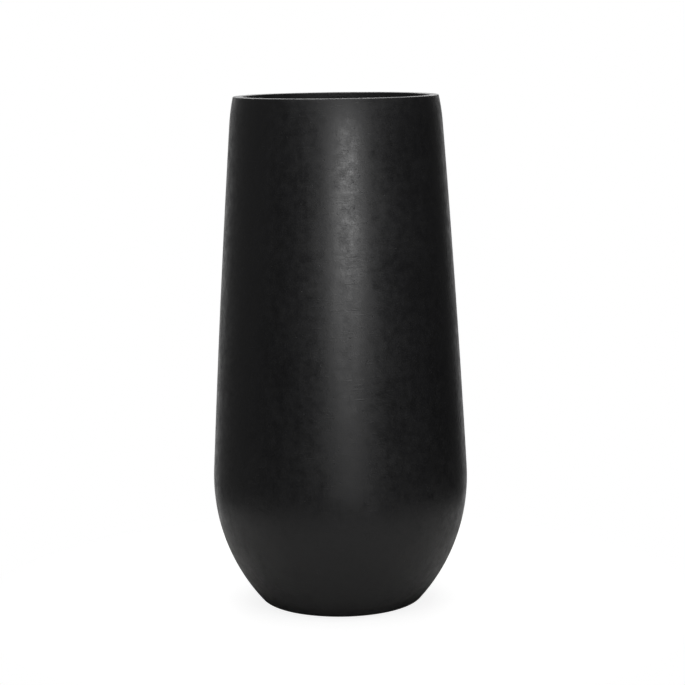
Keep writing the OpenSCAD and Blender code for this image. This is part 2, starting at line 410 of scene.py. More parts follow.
def bail_path(s, lug_thickness):
    """The right bail's middle line, seen from above, with each point's share of the full wire radius."""
    radius = PIVOT.x / math.cos(s.half_angle)
    corner = cmath.rect(radius, s.half_angle)
    tip = PIVOT.x + 1j * (corner.imag + s.lug_gap + lug_thickness + s.proud)
    bow = arc(0, radius, -s.half_angle, s.half_angle, 2 * s.half_angle * radius / s.bow_steps)
    bend = rounded(bow[-2], corner, tip, s.bend, steps=8)[1:-1]
    clear = 2 * abs(bend[0] - corner)
    middle = [point for point in bow if abs(point.imag) < corner.imag - clear]
    half = [*((point, 1) for point in bend), (tip - 1j * s.end_chamfer, 1),
            (tip, 1 - s.end_chamfer / s.wire_radius)]
    mirrored = [(point.conjugate(), share) for point, share in reversed(half)]
    return [*mirrored, *((point, 1) for point in middle), *half]


# Meshes that the node trees start from

def line_mesh(name, points, closed=False, **shares):
    """A line of section points in the XZ plane, or of 3D points, with named shares at its points."""
    places = [(point.real, 0, point.imag) if isinstance(point, complex) else point for point in points]
    joins = [(i, i + 1) for i in range(len(places) - 1)]
    if closed:
        joins.append((len(places) - 1, 0))
    mesh = bpy.data.meshes.new(name)
    mesh.from_pydata(places, joins, [])
    for label, values in shares.items():
        mesh.attributes.new(label, "FLOAT", "POINT").data.foreach_set("value", values)
    return mesh


def lug_mesh(s, foot_z):
    """One lug, a bevelled block with a round top, centred on its bore, with its foot below."""
    half = s.lug_width / 2
    steps = 20
    top = [(half * math.cos(math.pi * i / steps), half * math.sin(math.pi * i / steps))
           for i in range(steps + 1)]
    outline = [(-half, foot_z), (half, foot_z), *top]
    block = bmesh.new()
    face = block.faces.new([block.verts.new((x, -s.lug_thickness / 2, z)) for x, z in outline])
    grown = bmesh.ops.extrude_face_region(block, geom=[face])
    moved = [item for item in grown["geom"] if isinstance(item, bmesh.types.BMVert)]
    bmesh.ops.translate(block, verts=moved, vec=(0, s.lug_thickness, 0))
    edges = [edge for edge in block.edges
             if abs(edge.verts[0].co.y - edge.verts[1].co.y) < s.lug_thickness / 2]
    bmesh.ops.bevel(block, geom=edges, offset=s.lug_edge, segments=2, affect="EDGES", profile=0.6)
    bmesh.ops.recalc_face_normals(block, faces=block.faces)
    mesh = bpy.data.meshes.new("lug")
    block.to_mesh(mesh)
    block.free()
    return mesh


# Node trees

# An edge that bends more than this stays sharp
SHARP_BEND = math.radians(32)


def add_node(tree, kind, inputs=(), **settings):
    """Adds a node. Each input gets a value or another node's output, or several of them in a list."""
    node = tree.nodes.new(kind)
    for name, value in settings.items():
        setattr(node, name, value)
    for key, value in dict(inputs).items():
        for item in value if isinstance(value, list) else [value]:
            if isinstance(item, bpy.types.Node):
                item = item.outputs[0]
            if isinstance(item, bpy.types.NodeSocket):
                tree.links.new(item, node.inputs[key])
            else:
                node.inputs[key].default_value = item
    return node


def geometry_tree(name, inputs):
    """A geometry tree with named inputs, and its input node's sockets."""
    tree = bpy.data.node_groups.new(name, "GeometryNodeTree")
    tree.interface.new_socket(name="Geometry", in_out="OUTPUT", socket_type="NodeSocketGeometry")
    for label, kind in {"Geometry": "Geometry", **inputs}.items():
        tree.interface.new_socket(name=label, in_out="INPUT", socket_type="NodeSocket" + kind)
    return tree, add_node(tree, "NodeGroupInput").outputs


def turning_tree():
    """Turns a section, drawn in the XZ plane, round the Z axis. Trees share it."""
    name = "Turn a section"
    if name in bpy.data.node_groups:
        return bpy.data.node_groups[name]
    tree, given = geometry_tree(name, {"Sides": "Int"})
    # The section is swept round a ring of this radius, and its points are measured from the ring
    ring_radius = 1.0
    line = add_node(tree, "GeometryNodeMeshToCurve", {"Mesh": given["Geometry"]})
    at = add_node(tree, "ShaderNodeSeparateXYZ", {0: add_node(tree, "GeometryNodeInputPosition")})
    reach = add_node(tree, "ShaderNodeMath", {0: at.outputs["X"], 1: ring_radius}, operation="SUBTRACT")
    drop = add_node(tree, "ShaderNodeMath", {0: at.outputs["Z"], 1: -1.0}, operation="MULTIPLY")
    flat = add_node(tree, "ShaderNodeCombineXYZ", {"X": reach, "Y": drop})
    profile = add_node(tree, "GeometryNodeSetPosition", {"Geometry": line, "Position": flat})
    ring = add_node(tree, "GeometryNodeCurvePrimitiveCircle",
                    {"Resolution": given["Sides"], "Radius": ring_radius})
    level = add_node(tree, "GeometryNodeSetCurveNormal", {"Curve": ring}, mode="Z_UP")
    body = add_node(tree, "GeometryNodeCurveToMesh", {"Curve": level, "Profile Curve": profile})
    outward = add_node(tree, "GeometryNodeFlipFaces", {"Mesh": body})
    closed = add_node(tree, "GeometryNodeMergeByDistance", {"Geometry": outward, "Distance": 0.002 * MM})
    add_node(tree, "NodeGroupOutput", {"Geometry": closed})
    return tree


def turned_tree(name, inputs):
    """A tree that starts by turning its section, with its input node's sockets and the turned body."""
    tree, given = geometry_tree(name, {"Sides": "Int", **inputs})
    body = add_node(tree, "GeometryNodeGroup", {"Geometry": given["Geometry"], "Sides": given["Sides"]},
                    node_tree=turning_tree())
    return tree, given, body


def end_tree(tree, geometry, material, selected=None):
    """Ends a tree: real faces, smooth but for their sharp edges, and the material, on a selection or all."""
    real = add_node(tree, "GeometryNodeRealizeInstances", {"Geometry": geometry})
    smooth = add_node(tree, "GeometryNodeSetShadeSmooth", {"Geometry": real})
    bend = add_node(tree, "GeometryNodeInputMeshEdgeAngle")
    sharp = add_node(tree, "FunctionNodeCompare", {0: bend.outputs["Unsigned Angle"], 1: SHARP_BEND},
                     operation="GREATER_THAN")
    kept = add_node(tree, "GeometryNodeSetShadeSmooth",
                    {"Geometry": smooth, "Selection": sharp, "Shade Smooth": False}, domain="EDGE")
    inputs = {"Geometry": kept, "Material": material}
    if selected:
        inputs["Selection"] = selected
    last = add_node(tree, "GeometryNodeSetMaterial", inputs)
    add_node(tree, "NodeGroupOutput", {"Geometry": last})
    return tree


def shell_tree():
    """Turns the shell's section and sinks shallow hollows into its skin."""
    tree, given, body = turned_tree("Fibre-stone shell", {
        "Ripple Depth": "Float", "Ripple Size": "Float", "Seed": "Int",
        "Skin": "Material", "Inside": "Material"})
    skin = add_node(tree, "GeometryNodeInputNamedAttribute", {"Name": "skin"}, data_type="FLOAT")
    at = add_node(tree, "GeometryNodeInputPosition")
    per_metre = add_node(tree, "ShaderNodeMath", {0: 1.0, 1: given["Ripple Size"]}, operation="DIVIDE")
    ripple = add_node(tree, "ShaderNodeTexNoise",
                      {"Vector": at, "W": given["Seed"], "Scale": per_metre, "Detail": 2.0,
                       "Roughness": 0.35}, noise_dimensions="4D")
    depth = add_node(tree, "ShaderNodeMath", {0: given["Ripple Depth"], 1: -1.0}, operation="MULTIPLY")
    inward = add_node(tree, "ShaderNodeMath", {0: ripple, 1: depth}, operation="MULTIPLY")
    on_skin = add_node(tree, "ShaderNodeMath", {0: inward, 1: skin}, operation="MULTIPLY")
    hollow = add_node(tree, "ShaderNodeVectorMath",
                      {0: add_node(tree, "GeometryNodeInputNormal"), "Scale": on_skin}, operation="SCALE")
    moved = add_node(tree, "GeometryNodeSetPosition", {"Geometry": body, "Offset": hollow})
    raw = add_node(tree, "GeometryNodeSetMaterial", {"Geometry": moved, "Material": given["Inside"]})
    outside = add_node(tree, "FunctionNodeCompare", {0: skin, 1: 0.5}, operation="GREATER_THAN")
    return end_tree(tree, raw, given["Skin"], outside)


def liner_tree():
    """Turns the liner's section, stands its four lugs on the flange and drills it."""
    tree, given, body = turned_tree("Moulded liner", {
        "Holes": "Int", "Hole Radius": "Float", "Hole Circle": "Float", "Floor Height": "Float",
        "Lug": "Object", "Lug X": "Float", "Lug Y": "Float", "Lug Height": "Float",
        "Bore Radius": "Float", "Plastic": "Material"})
    through = 20 * MM
    hole_sides = 40
    half_step = add_node(tree, "ShaderNodeMath", {0: math.pi, 1: given["Holes"]}, operation="DIVIDE")
    ring = add_node(tree, "GeometryNodeMeshCircle",
                    {"Vertices": given["Holes"], "Radius": given["Hole Circle"]})
    middle = add_node(tree, "GeometryNodeMeshLine", {"Count": 1})
    spots = add_node(tree, "GeometryNodeJoinGeometry", {0: [ring, middle]})
    drilled_at = add_node(tree, "GeometryNodeTransform", {
        "Geometry": spots,
        "Translation": add_node(tree, "ShaderNodeCombineXYZ", {"Z": given["Floor Height"]}),
        "Rotation": add_node(tree, "ShaderNodeCombineXYZ", {"Z": half_step})})
    drill = add_node(tree, "GeometryNodeMeshCylinder",
                     {"Vertices": hole_sides, "Radius": given["Hole Radius"], "Depth": through})
    drills = add_node(tree, "GeometryNodeInstanceOnPoints", {"Points": drilled_at, "Instance": drill})
    across = add_node(tree, "ShaderNodeMath", {0: given["Lug X"], 1: 2.0}, operation="MULTIPLY")
    along = add_node(tree, "ShaderNodeMath", {0: given["Lug Y"], 1: 2.0}, operation="MULTIPLY")
    corners = add_node(tree, "GeometryNodeMeshGrid",
                       {"Vertices X": 2, "Vertices Y": 2, "Size X": across, "Size Y": along})
    seats = add_node(tree, "GeometryNodeTransform", {
        "Geometry": corners,
        "Translation": add_node(tree, "ShaderNodeCombineXYZ", {"Z": given["Lug Height"]})})
    lug = add_node(tree, "GeometryNodeObjectInfo", {"Object": given["Lug"]})
    lugs = add_node(tree, "GeometryNodeInstanceOnPoints",
                    {"Points": seats, "Instance": lug.outputs["Geometry"]})
    bore = add_node(tree, "GeometryNodeMeshCylinder",
                    {"Vertices": hole_sides, "Radius": given["Bore Radius"], "Depth": through})
    bores = add_node(tree, "GeometryNodeInstanceOnPoints",
                     {"Points": seats, "Instance": bore, "Rotation": (math.pi / 2, 0, 0)})
    cutters = add_node(tree, "GeometryNodeJoinGeometry", {0: [drills, bores]})
    solid_lugs = add_node(tree, "GeometryNodeRealizeInstances", {"Geometry": lugs})
    solid_cutters = add_node(tree, "GeometryNodeRealizeInstances", {"Geometry": cutters})
    joined = add_node(tree, "GeometryNodeMeshBoolean", {"Mesh 2": [body, solid_lugs]},
                      operation="UNION", solver="EXACT")
    drilled = add_node(tree, "GeometryNodeMeshBoolean", {"Mesh 1": joined, "Mesh 2": solid_cutters},
                       operation="DIFFERENCE", solver="EXACT")
    closed = add_node(tree, "GeometryNodeMergeByDistance", {"Geometry": drilled, "Distance": 0.01 * MM})
    return end_tree(tree, closed, given["Plastic"])


def wire_tree():
    """Sweeps a round wire along a path. Each point's girth is its share of the wire's full radius."""
    tree, given = geometry_tree("Bent wire", {"Sides": "Int", "Radius": "Float", "Wire": "Material"})
    path = add_node(tree, "GeometryNodeMeshToCurve", {"Mesh": given["Geometry"]})
    level = add_node(tree, "GeometryNodeSetCurveNormal", {"Curve": path}, mode="Z_UP")
    girth = add_node(tree, "GeometryNodeInputNamedAttribute", {"Name": "girth"}, data_type="FLOAT")
    ring = add_node(tree, "GeometryNodeCurvePrimitiveCircle",
                    {"Resolution": given["Sides"], "Radius": given["Radius"]})
    swept = add_node(tree, "GeometryNodeCurveToMesh",
                     {"Curve": level, "Profile Curve": ring, "Scale": girth, "Fill Caps": True})
    return end_tree(tree, swept, given["Wire"])


def plug_tree():
    """Turns the plug's section."""
    tree, given, body = turned_tree("Moulded plug", {"Rubber": "Material"})
    return end_tree(tree, body, given["Rubber"])


def pads_tree():
    """Turns one pad and repeats it round the foot."""
    tree, given, pad = turned_tree("Floor pads", {
        "Pads": "Int", "Circle": "Float", "First Angle": "Float", "Rubber": "Material"})
    ring = add_node(tree, "GeometryNodeMeshCircle", {"Vertices": given["Pads"], "Radius": given["Circle"]})
    spots = add_node(tree, "GeometryNodeTransform", {
        "Geometry": ring, "Rotation": add_node(tree, "ShaderNodeCombineXYZ", {"Z": given["First Angle"]})})
    pads = add_node(tree, "GeometryNodeInstanceOnPoints", {"Points": spots, "Instance": pad})
    return end_tree(tree, pads, given["Rubber"])


def grow(name, mesh, tree, values):
    """Runs a tree on a mesh, keeps the result as a plain mesh and returns the piece."""
    piece = bpy.data.objects.new(name, mesh)
    bpy.context.scene.collection.objects.link(piece)
    modifier = piece.modifiers.new(tree.name, "NODES")
    modifier.node_group = tree
    sockets = {item.name: item.identifier for item in tree.interface.items_tree
               if item.in_out == "INPUT"}
    for label, value in values.items():
        modifier[sockets[label]] = value
    evaluated = piece.evaluated_get(bpy.context.evaluated_depsgraph_get())
    result = bpy.data.meshes.new_from_object(evaluated)
    piece.modifiers.clear()
    piece.data = result
    result.name = name
    bpy.data.meshes.remove(mesh)
    if not result.polygons:
        raise RuntimeError(f"{name} came out with no faces")
    if result.materials[0] is None:
        result.materials.pop(index=0)
    return piece


def settle(piece, body, slot, *nodes):
    """Puts a piece on its body, in the place of its CAD nodes."""
    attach(piece, body)
    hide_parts(*nodes)


# Materials

def new_material(name, **inputs):
    """A material with a Principled shader, its tree, and its Object coordinates."""
    material = bpy.data.materials.new(name)
    material.use_nodes = True
    tree = material.node_tree
    tree.nodes.clear()
    shader = add_node(tree, "ShaderNodeBsdfPrincipled", inputs)
    add_node(tree, "ShaderNodeOutputMaterial", {"Surface": shader})
    return material, tree, shader.inputs, add_node(tree, "ShaderNodeTexCoord").outputs["Object"]


def dress(tree, shader, tone, shade, rough, reliefs):
    """Gives a shader its tone, scaled by a node, its roughness from another, and its relief.

    A relief is a pattern and its height in millimetres, below zero for hollows. The first lies lowest.
    """
    tint = add_node(tree, "ShaderNodeVectorMath", {0: tuple(tone), "Scale": shade}, operation="SCALE")
    tree.links.new(tint.outputs[0], shader["Base Color"])
    tree.links.new(rough.outputs[0], shader["Roughness"])
    surface = shader["Normal"]
    for pattern, height in reversed(reliefs):
        layer = add_node(tree, "ShaderNodeBump",
                         {"Height": pattern, "Distance": abs(height) * MM, "Strength": 1.0},
                         invert=height < 0)
        tree.links.new(layer.outputs[0], surface)
        surface = layer.inputs["Normal"]


def patchy(tree, shader, tone, pattern, shades, roughness, reliefs, span=(0.3, 0.7)):
    """Dresses a shader with one pattern's patches. The shades run over the span of the pattern's values."""
    shade = add_node(tree, "ShaderNodeMapRange",
                     {"Value": pattern, "From Min": span[0], "From Max": span[1],
                      "To Min": shades[0], "To Max": shades[1]})
    rough = add_node(tree, "ShaderNodeMapRange",
                     {"Value": pattern, "From Min": 0.3, "From Max": 0.7,
                      "To Min": roughness[0], "To Max": roughness[1]})
    dress(tree, shader, tone, shade, rough, reliefs)


def sealed_stone(finish):
    """Fibre-stone: stone dust in resin over glass fibre, sanded by hand and sealed with a satin wax.

    The wax gives a soft, wide highlight. It is wiped on from top to bottom and takes up unevenly, so the
    highlight is cloudy and faintly streaked. The sanded face keeps pinholes, which gather in places, and
    short faint rub marks.
    """
    material, tree, shader, at = new_material("Fibre-stone, hand-sanded and sealed satin", IOR=1.5)
    clouds = add_node(tree, "ShaderNodeTexNoise",
                      {"Vector": at, "Scale": 1 / (85 * MM), "Detail": 4.0, "Roughness": 0.55,
                       "Distortion": 0.4})
    mottle = add_node(tree, "ShaderNodeTexNoise",
                      {"Vector": at, "Scale": 1 / (16 * MM), "Detail": 5.0, "Roughness": 0.65})
    # Stone dust is finer than this. It is drawn a little over a pixel wide, so that the camera sees it
    dust = add_node(tree, "ShaderNodeTexNoise", {"Vector": at, "Scale": 1 / (2.6 * MM), "Roughness": 0.6})
    tone = add_node(tree, "ShaderNodeMath", {0: clouds, 1: mottle}, operation="ADD")
    shade = add_node(tree, "ShaderNodeMapRange",
                     {"Value": tone, "From Min": 0.75, "From Max": 1.25, "To Min": 0.93, "To Max": 1.08})
    wax = add_node(tree, "ShaderNodeMapRange",
                   {"Value": clouds, "From Min": 0.3, "From Max": 0.7, "To Min": 0.41, "To Max": 0.48})
    across = 1 / (25 * MM)
    down = 1 / (250 * MM)
    wiping = add_node(tree, "ShaderNodeMapping", {"Vector": at, "Scale": (across, across, down)})
    streaks = add_node(tree, "ShaderNodeTexNoise",
                       {"Vector": wiping, "Scale": 1.0, "Detail": 3.0, "Roughness": 0.6})
    blurs = ((streaks, 0.16), (mottle, 0.4), (dust, 0.24))
    blurred = wax
    for pattern, share in blurs:
        blurred = add_node(tree, "ShaderNodeMath", {0: pattern, 1: share, 2: blurred},
                           operation="MULTIPLY_ADD")
    # A noise is a half on average, so half of the shares comes off again
    half_shares = sum(share for pattern, share in blurs) / 2
    rough = add_node(tree, "ShaderNodeMath", {0: blurred, 1: half_shares}, operation="SUBTRACT")
    cells = add_node(tree, "ShaderNodeTexVoronoi", {"Vector": at, "Scale": 1 / (11 * MM)})
    near = add_node(tree, "ShaderNodeMapRange",
                    {"Value": cells, "From Min": 0.04, "From Max": 0.13, "To Min": 1.0, "To Max": 0.0},
                    interpolation_type="SMOOTHSTEP")
    chance = add_node(tree, "ShaderNodeSeparateColor", {"Color": cells.outputs["Color"]})
    gathered = add_node(tree, "ShaderNodeMath", {0: chance, 1: clouds}, operation="ADD")
    # A cell has a pinhole only where its own chance and the clouds add up to more than this
    pinholes_from = 1.3
    picked = add_node(tree, "ShaderNodeMath", {0: gathered, 1: pinholes_from}, operation="GREATER_THAN")
    pinholes = add_node(tree, "ShaderNodeMath", {0: near, 1: picked}, operation="MULTIPLY")
    # The rub marks are about 36 mm long and 2.4 mm high, which is this many to a metre
    level = 28
    upward = 420
    stretched = add_node(tree, "ShaderNodeMapping", {"Vector": at, "Scale": (level, level, upward)})
    rubs = add_node(tree, "ShaderNodeTexNoise", {"Vector": stretched, "Scale": 1.0})
    marks = add_node(tree, "ShaderNodeMapRange",
                     {"Value": rubs, "From Min": 0.62, "From Max": 0.74, "To Min": 0.0, "To Max": 1.0})
    swells = add_node(tree, "ShaderNodeTexNoise", {"Vector": at, "Scale": 1 / (34 * MM), "Detail": 3.0})
    dress(tree, shader, finish.stone, shade, rough, (
        (swells, 0.35), (streaks, 0.12), (mottle, 0.13), (dust, 0.03), (marks, 0.1), (pinholes, -0.3)))
    return material


def raw_laminate(finish):
    """Glass-fibre mat in resin, laid up by hand and left raw, so it is matt, with strands in low relief."""
    material, tree, shader, at = new_material("Glass-fibre laminate, raw inside", IOR=1.52)
    strands = add_node(tree, "ShaderNodeTexVoronoi", {"Vector": at, "Scale": 1 / (9 * MM)},
                       feature="DISTANCE_TO_EDGE")
    weave = add_node(tree, "ShaderNodeMapRange",
                     {"Value": strands, "From Min": 0.0, "From Max": 0.2, "To Min": 1.0, "To Max": 0.0})
    lumps = add_node(tree, "ShaderNodeTexNoise",
                     {"Vector": at, "Scale": 1 / (22 * MM), "Detail": 4.0, "Roughness": 0.6})
    patchy(tree, shader, finish.laminate, lumps, shades=(0.75, 1.25), roughness=(0.5, 0.68),
           reliefs=((lumps, 0.8), (weave, 0.15)))
    return material


def moulded_plastic(finish):
    """Injection-moulded polypropylene with a fine spark-eroded grain, which breaks its gloss up evenly."""
    material, tree, shader, at = new_material("Polypropylene, injection-moulded, fine grain", IOR=1.49)
    # The real grain is finer. Even at this size it shows only from close by
    grain = add_node(tree, "ShaderNodeTexNoise", {"Vector": at, "Scale": 1 / (1.1 * MM), "Roughness": 0.6})
    flow = add_node(tree, "ShaderNodeTexNoise", {"Vector": at, "Scale": 1 / (60 * MM)})
    patchy(tree, shader, finish.plastic, flow, shades=(0.9, 1.1), roughness=(0.38, 0.46),
           reliefs=((grain, 0.03),))
    return material


def plated_wire(finish):
    """Drawn steel wire with bright zinc plating, which dulls in small spots as it is handled."""
    material, tree, shader, at = new_material("Steel wire, drawn and zinc-plated", Metallic=1.0)
    spots = add_node(tree, "ShaderNodeTexNoise",
                     {"Vector": at, "Scale": 1 / (7 * MM), "Detail": 3.0, "Roughness": 0.6})
    # The marks of drawing are finer. Even at this size they show only from close by
    drawn = add_node(tree, "ShaderNodeTexNoise", {"Vector": at, "Scale": 1 / (0.9 * MM)})
    patchy(tree, shader, finish.wire, spots, shades=(0.85, 1.05), roughness=(0.24, 0.4),
           reliefs=((drawn, 0.01),))
    return material


def moulded_rubber(name, tone, bloom):
    """Rubber: matt, with a dusty grey bloom that gathers in patches."""
    material, tree, shader, at = new_material(name, IOR=1.52)
    dust = add_node(tree, "ShaderNodeTexNoise",
                    {"Vector": at, "Scale": 1 / (9 * MM), "Detail": 4.0, "Roughness": 0.65})
    # The real grain is finer. Even at this size it shows only from close by
    grain = add_node(tree, "ShaderNodeTexNoise", {"Vector": at, "Scale": 1 / (0.9 * MM)})
    patchy(tree, shader, tone, dust, shades=(1.0, bloom), roughness=(0.55, 0.75),
           reliefs=((grain, 0.02),), span=(0.35, 0.75))
    return material


# Pieces

def build_shell(scene):
    """The moulded shell."""
    s = scene.planter_shell
    section = ShellSection(s)
    skin = section.skin()
    inside = section.inside()
    mesh = line_mesh("shell section", skin + inside, closed=True,
                     skin=[1.0] * len(skin) + [0.0] * len(inside))
    piece = grow("planter_shell", mesh, shell_tree(), {
        "Sides": s.sides, "Ripple Depth": s.ripple_depth, "Ripple Size": s.ripple_size, "Seed": s.seed,
        "Skin": sealed_stone(scene.planter_finish), "Inside": raw_laminate(scene.planter_finish)})
    settle(piece, "shell", "fibre_stone", "shell")


def build_pads(scene):
    """The four floor pads, as one piece."""
    s = scene.planter_pads
    middle = (PAD_LOW + PAD_HIGH) / 2
    piece = grow("foot_pads", line_mesh("pad section", pad_section(s)), pads_tree(), {
        "Sides": s.sides, "Pads": len(PADS), "Circle": math.hypot(middle.x, middle.y),
        "First Angle": math.atan2(middle.y, middle.x),
        "Rubber": moulded_rubber("Rubber sheet, die-cut", scene.planter_finish.pad, bloom=1.5)})
    settle(piece, "shell", "pad_rubber", *PADS)


def build_liner(scene):
    """The liner, with its drain holes and the lugs that hold the bails."""
    s = scene.planter_liner
    bail = scene.planter_bail
    ledge_z = ShellSection(scene.planter_shell).ledge_z
    sunk_foot = ledge_z + s.flange / 2 - PIVOT.z
    lug = bpy.data.objects.new("lug", lug_mesh(s, sunk_foot))
    section = line_mesh("liner section", liner_section(s, ledge_z))
    piece = grow("planting_liner", section, liner_tree(), {
        "Sides": s.sides, "Holes": s.holes, "Hole Radius": s.hole_radius,
        "Hole Circle": s.hole_circle, "Floor Height": s.low_z, "Lug": lug, "Lug X": PIVOT.x,
        "Lug Y": PIVOT.x * math.tan(bail.half_angle) + bail.lug_gap + s.lug_thickness / 2,
        "Lug Height": PIVOT.z, "Bore Radius": bail.wire_radius + s.bore_clearance,
        "Plastic": moulded_plastic(scene.planter_finish)})
    bpy.data.objects.remove(lug)
    settle(piece, "liner", "liner_plastic", "liner")


def build_bails(scene):
    """The two wire bails, each on its own body. The left one is the right one, turned half round."""
    s = scene.planter_bail
    tree = wire_tree()
    wire = plated_wire(scene.planter_finish)
    path = bail_path(s, scene.planter_liner.lug_thickness)
    for node, side in (("bail_left", -1), ("bail_right", 1)):
        points = [(side * point.real, side * point.imag, PIVOT.z) for point, share in path]
        mesh = line_mesh("bail path", points, girth=[share for point, share in path])
        piece = grow("wire_" + node, mesh, tree,
                     {"Sides": s.sides, "Radius": s.wire_radius, "Wire": wire})
        settle(piece, node, "bail_wire", node)


def build_plug(scene):
    """The drain plug."""
    s = scene.planter_plug
    section = plug_section(s, ShellSection(scene.planter_shell).floor_z)
    piece = grow("rubber_drain_plug", line_mesh("plug section", section), plug_tree(), {
        "Sides": s.sides,
        "Rubber": moulded_rubber("Rubber, compression-moulded", scene.planter_finish.plug, bloom=1.6)})
    settle(piece, "drain_plug", "plug_rubber", "drain_plug")


# Stage: a pale floor, white surroundings, a black tent, lamps and the camera

WHITE = (1, 1, 1, 1)
FADED_PAPER = (0.36, 0.36, 0.36, 1)
VELVET = (0.004, 0.004, 0.004, 1)
# Strength of the room's light, and of the white that lifts the paper for the camera
ROOM_LIGHT = 0.03
PAPER_LIFT = 0.88
# Share of the floor's radius at which it starts to turn all white
WHITE_FROM = 0.8

# Places and sizes are in metres. The key lamps are small, stand close and spare the floor: four in front and
# one behind. The others are large and soft. The top lamp is aimed a millimetre off straight down.
LAMPS = {
    "key_low": {"at": (0.23, -1.20, 0.3), "aim": (0.02, -0.22, 0.3), "size": (0.2, 0.2), "watts": 0.4},
    "key_middle": {"at": (0.23, -1.20, 0.75), "aim": (0.02, -0.22, 0.75), "size": (0.2, 0.2), "watts": 1.6},
    "key_high": {"at": (0.23, -1.20, 0.95), "aim": (0.02, -0.22, 0.95), "size": (0.2, 0.2), "watts": 2.9},
    "key_strip": {"at": (0.02, -1.22, 0.75), "aim": (-0.02, -0.22, 0.75), "size": (0.2, 0.8), "watts": 1.6},
    "key_back": {"at": (0.0, 1.25, 0.6), "aim": (0.0, 0.22, 0.6), "size": (0.3, 0.6), "watts": 4.0},
    "left": {"at": (-2.95, 0.52, 0.8), "aim": (0.0, 0.0, 0.5), "size": (3.0, 3.0), "watts": 3.4},
    "back_left": {"at": (-2.1, 2.1, 0.9), "aim": (0.0, 0.0, 0.6), "size": (1.2, 3.0), "watts": 2.67},
    "back_right": {"at": (2.1, 2.1, 0.9), "aim": (0.0, 0.0, 0.6), "size": (1.2, 3.0), "watts": 1.24},
    "top": {"at": (0.0, 0.0, 3.2), "aim": (0.0, 0.001, 0.0), "size": (3.0, 3.0), "watts": 31.0},
    "top_front": {"at": (0.0, -1.8, 2.8), "aim": (0.0, 0.0, 0.8), "size": (2.5, 1.5), "watts": 24.7},
    "top_back": {"at": (0.0, 2.5, 2.6), "aim": (0.0, 0.0, 1.0), "size": (3.0, 1.5), "watts": 35.4},
    "top_right": {"at": (1.8, -0.9, 2.6), "aim": (0.0, 0.0, 0.9), "size": (1.5, 1.5), "watts": 3.21},
}


def plain_tree(holder):
    """The emptied node tree of a new material or world."""
    holder.use_nodes = True
    holder.node_tree.nodes.clear()
    return holder.node_tree


def ray_kinds(tree):
    """The camera's rays, and the rays that something reflects or lets through."""
    ray = add_node(tree, "ShaderNodeLightPath").outputs
    mirrored = add_node(tree, "ShaderNodeMath", {0: ray["Is Glossy Ray"], 1: ray["Is Transmission Ray"]},
                        operation="MAXIMUM")
    return ray["Is Camera Ray"], mirrored


def white_surroundings(scene):
    """A dim room. The camera sees it as white, and so does whatever reflects or lets through."""
    scene.world = bpy.data.worlds.new("Studio room")
    tree = plain_tree(scene.world)
    room = add_node(tree, "ShaderNodeBackground", {"Color": WHITE, "Strength": ROOM_LIGHT})
    white = add_node(tree, "ShaderNodeBackground", {"Color": WHITE, "Strength": 1.0})
    camera, mirrored = ray_kinds(tree)
    seen = add_node(tree, "ShaderNodeMath", {0: camera, 1: mirrored}, operation="MAXIMUM")
    mixed = add_node(tree, "ShaderNodeMixShader", {0: seen, 1: room, 2: white})
    add_node(tree, "ShaderNodeOutputWorld", {"Surface": mixed})


def floor_paper(finish, radius):
    """Matt paper. The camera sees it lifted to white, with the planter's soft shadow left on it.

    It is all white at its edge, so it runs into the room. What reflects sees it so only near the edge.
    """
    material = bpy.data.materials.new("Paper sheet, pale and matt")
    tree = plain_tree(material)
    at = add_node(tree, "ShaderNodeTexCoord").outputs["Object"]
    reach = add_node(tree, "ShaderNodeVectorMath", {0: at}, operation="LENGTH").outputs["Value"]
    outer = add_node(tree, "ShaderNodeMapRange",
                     {"Value": reach, "From Min": WHITE_FROM * radius, "From Max": radius},
                     interpolation_type="SMOOTHSTEP")
    paper = add_node(tree, "ShaderNodeBsdfDiffuse", {"Color": (*finish.paper, 1)})
    faded = add_node(tree, "ShaderNodeBsdfDiffuse", {"Color": FADED_PAPER})
    lift = add_node(tree, "ShaderNodeEmission", {"Strength": PAPER_LIFT})
    lifted = add_node(tree, "ShaderNodeAddShader", {0: faded, 1: lift})
    white = add_node(tree, "ShaderNodeEmission", {"Strength": 1.0})
    shown = add_node(tree, "ShaderNodeMixShader", {0: outer, 1: lifted, 2: white})
    camera, mirrored = ray_kinds(tree)
    mirrored_far = add_node(tree, "ShaderNodeMath", {0: mirrored, 1: outer}, operation="MULTIPLY")
    seen = add_node(tree, "ShaderNodeMath", {0: camera, 1: mirrored_far}, operation="MAXIMUM")
    mixed = add_node(tree, "ShaderNodeMixShader", {0: seen, 1: paper, 2: shown})
    add_node(tree, "ShaderNodeOutputMaterial", {"Surface": mixed})
    return material


def tent_cloth():
    """Black velvet, which keeps the front of the planter free of reflections."""
    material = bpy.data.materials.new("Velvet, black")
    tree = plain_tree(material)
    cloth = add_node(tree, "ShaderNodeBsdfDiffuse", {"Color": VELVET})
    add_node(tree, "ShaderNodeOutputMaterial", {"Surface": cloth})
    return material


def stage_piece(name, points, faces, material):
    """A stage piece from points and faces."""
    mesh = bpy.data.meshes.new(name)
    mesh.from_pydata(points, [], faces)
    mesh.materials.append(material)
    piece = bpy.data.objects.new(name, mesh)
    bpy.context.scene.collection.objects.link(piece)
    return piece


def dome(radius, start, end, low, high, steps=24):
    """Points and faces of a patch of a sphere. Its turn is measured from the front, left being negative."""
    points = []
    for i in range(steps + 1):
        for j in range(steps + 1):
            turn = start + (end - start) * i / steps - math.pi / 2
            rise = low + (high - low) * j / steps
            points.append((radius * math.cos(turn) * math.cos(rise),
                           radius * math.sin(turn) * math.cos(rise), radius * math.sin(rise)))
    row = steps + 1
    faces = [(i * row + j, i * row + j + 1, (i + 1) * row + j + 1, (i + 1) * row + j)
             for i in range(steps) for j in range(steps)]
    return points, faces


